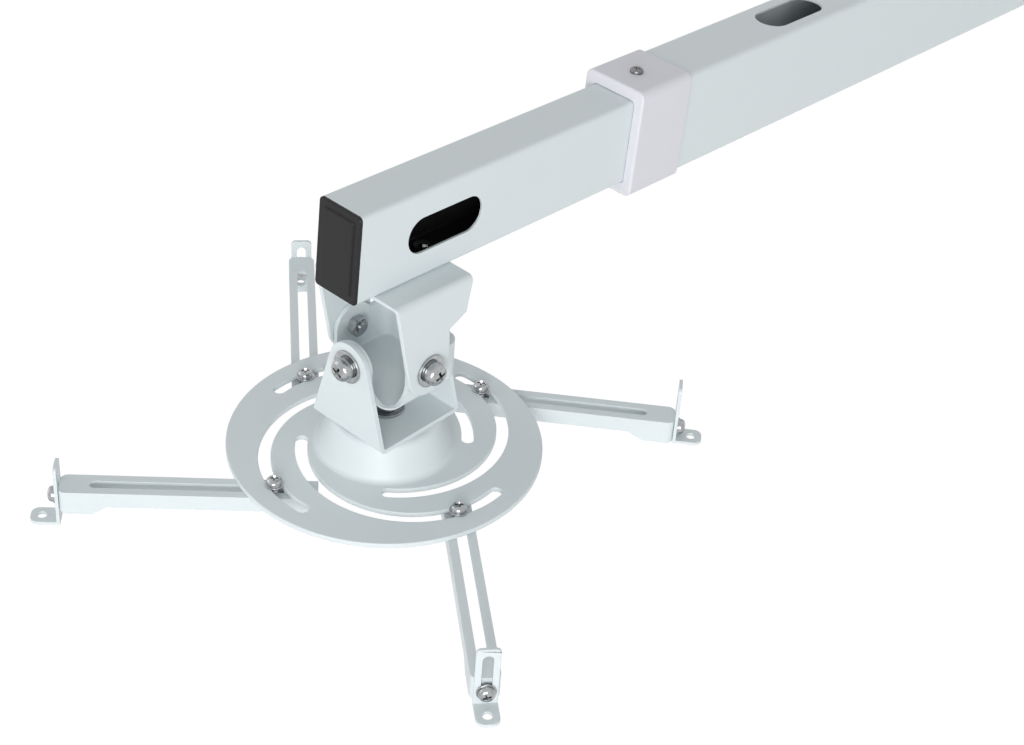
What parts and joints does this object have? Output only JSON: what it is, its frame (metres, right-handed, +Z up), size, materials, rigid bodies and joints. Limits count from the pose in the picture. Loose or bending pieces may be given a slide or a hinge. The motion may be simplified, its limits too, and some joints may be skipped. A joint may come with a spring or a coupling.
{
  "type": "projector wall mount",
  "caption": "Telescopic wall arm for a projector, with a tilting and rolling knuckle, a swivelling slotted plate and adjustable arms with height-adjustable feet.",
  "frame": {"origin": "centre of the wall plate's back face, on the wall", "axes": "+Y into the wall, so the arm reaches along -Y; +Z up; +X to the right when facing the wall"},
  "size_m": [0.3496, 0.9144, 0.2546],
  "materials": {
    "white_paint": "satin powder coat",
    "collar_plastic": "satin moulded",
    "cap_black": "satin moulded",
    "plated_steel": "bright plated"
  },
  "bodies": {
    "wall_arm": {"wall_plate": "white_paint", "outer_tube": "white_paint", "collar": "collar_plastic", "lock_screw": "plated_steel"},
    "sliding_arm": {"inner_tube": "white_paint", "slide_guide": "collar_plastic", "end_cap": "cap_black", "hanger_bracket": "white_paint", "hanger_bolts": "plated_steel", "hanger_nuts": "plated_steel"},
    "knuckle": {"knuckle": "white_paint", "tilt_bolts": "plated_steel", "tilt_washers": "plated_steel", "tilt_nuts": "plated_steel", "roll_bolts": "plated_steel", "roll_washers": "plated_steel", "roll_nuts": "plated_steel"},
    "yoke": {"yoke": "white_paint", "swivel_bolt": "plated_steel", "swivel_washer": "plated_steel", "swivel_nut": "plated_steel"},
    "spider": {"spider_plate": "white_paint"},
    "clamp_rear_left": {"arm_bolt_rear_left": "plated_steel", "arm_washers_rear_left": "plated_steel", "arm_nut_rear_left": "plated_steel"},
    "arm_rear_left": {"arm_rear_left": "white_paint", "foot_screw_rear_left": "plated_steel", "foot_washer_rear_left": "plated_steel", "foot_nut_rear_left": "plated_steel"},
    "foot_rear_left": {"foot_rear_left": "white_paint"},
    "clamp_front_left": {"arm_bolt_front_left": "plated_steel", "arm_washers_front_left": "plated_steel", "arm_nut_front_left": "plated_steel"},
    "arm_front_left": {"arm_front_left": "white_paint", "foot_screw_front_left": "plated_steel", "foot_washer_front_left": "plated_steel", "foot_nut_front_left": "plated_steel"},
    "foot_front_left": {"foot_front_left": "white_paint"},
    "clamp_front_right": {"arm_bolt_front_right": "plated_steel", "arm_washers_front_right": "plated_steel", "arm_nut_front_right": "plated_steel"},
    "arm_front_right": {"arm_front_right": "white_paint", "foot_screw_front_right": "plated_steel", "foot_washer_front_right": "plated_steel", "foot_nut_front_right": "plated_steel"},
    "foot_front_right": {"foot_front_right": "white_paint"},
    "clamp_rear_right": {"arm_bolt_rear_right": "plated_steel", "arm_washers_rear_right": "plated_steel", "arm_nut_rear_right": "plated_steel"},
    "arm_rear_right": {"arm_rear_right": "white_paint", "foot_screw_rear_right": "plated_steel", "foot_washer_rear_right": "plated_steel", "foot_nut_rear_right": "plated_steel"},
    "foot_rear_right": {"foot_rear_right": "white_paint"}
  },
  "joints": [
    {"name": "reach", "type": "slide", "parent": "wall_arm", "child": "sliding_arm", "axis": [0, -1, 0], "range_m": [-0.12, 0.078]},
    {"name": "tilt", "type": "hinge", "parent": "sliding_arm", "child": "knuckle", "pos_m": [0, -0.76, -0.0715], "axis": [1, 0, 0], "range_deg": [-23.3, 16.7]},
    {"name": "roll", "type": "hinge", "parent": "knuckle", "child": "yoke", "pos_m": [0, -0.76, -0.0715], "axis": [0, 0.9983, 0.0576], "range_deg": [-15, 15]},
    {"name": "swivel", "type": "hinge", "parent": "yoke", "child": "spider", "pos_m": [0, -0.76, -0.0715], "axis": [0, -0.0576, 0.9983], "continuous": true},
    {"name": "swing_rear_left", "type": "hinge", "parent": "spider", "child": "clamp_rear_left", "pos_m": [-0.06968, -0.74967, -0.13681], "axis": [0, -0.0576, 0.9983], "range_deg": [-30, 30]},
    {"name": "extend_rear_left", "type": "slide", "parent": "clamp_rear_left", "child": "arm_rear_left", "axis": [-0.749, 0.6615, 0.0381], "range_m": [-0.04, 0.0005]},
    {"name": "height_rear_left", "type": "slide", "parent": "arm_rear_left", "child": "foot_rear_left", "axis": [0, 0.0576, -0.9983], "range_m": [-0.0111, 0.0108]},
    {"name": "swing_front_left", "type": "hinge", "parent": "spider", "child": "clamp_front_left", "pos_m": [-0.01189, -0.82443, -0.14112], "axis": [0, -0.0576, 0.9983], "range_deg": [-30, 30]},
    {"name": "extend_front_left", "type": "slide", "parent": "clamp_front_left", "child": "arm_front_left", "axis": [-0.7108, -0.7022, -0.0405], "range_m": [-0.04, 0.014]},
    {"name": "height_front_left", "type": "slide", "parent": "arm_front_left", "child": "foot_front_left", "axis": [0, 0.0576, -0.9983], "range_m": [-0.0089, 0.013]},
    {"name": "swing_front_right", "type": "hinge", "parent": "spider", "child": "clamp_front_right", "pos_m": [0.06787, -0.76951, -0.13796], "axis": [0, -0.0576, 0.9983], "range_deg": [-30, 30]},
    {"name": "extend_front_right", "type": "slide", "parent": "clamp_front_right", "child": "arm_front_right", "axis": [0.7716, -0.635, -0.0366], "range_m": [-0.04, 0.007]},
    {"name": "height_front_right", "type": "slide", "parent": "arm_front_right", "child": "foot_front_right", "axis": [0, 0.0576, -0.9983], "range_m": [-0.002, 0.0199]},
    {"name": "swing_rear_right", "type": "hinge", "parent": "spider", "child": "clamp_rear_right", "pos_m": [0.00409, -0.6862, -0.13315], "axis": [0, -0.0576, 0.9983], "range_deg": [-30, 30]},
    {"name": "extend_rear_right", "type": "slide", "parent": "clamp_rear_right", "child": "arm_rear_right", "axis": [0.7986, 0.6008, 0.0346], "range_m": [-0.04, 0.016]},
    {"name": "height_rear_right", "type": "slide", "parent": "arm_rear_right", "child": "foot_rear_right", "axis": [0, 0.0576, -0.9983], "range_m": [-0.0003, 0.0216]}
  ]
}
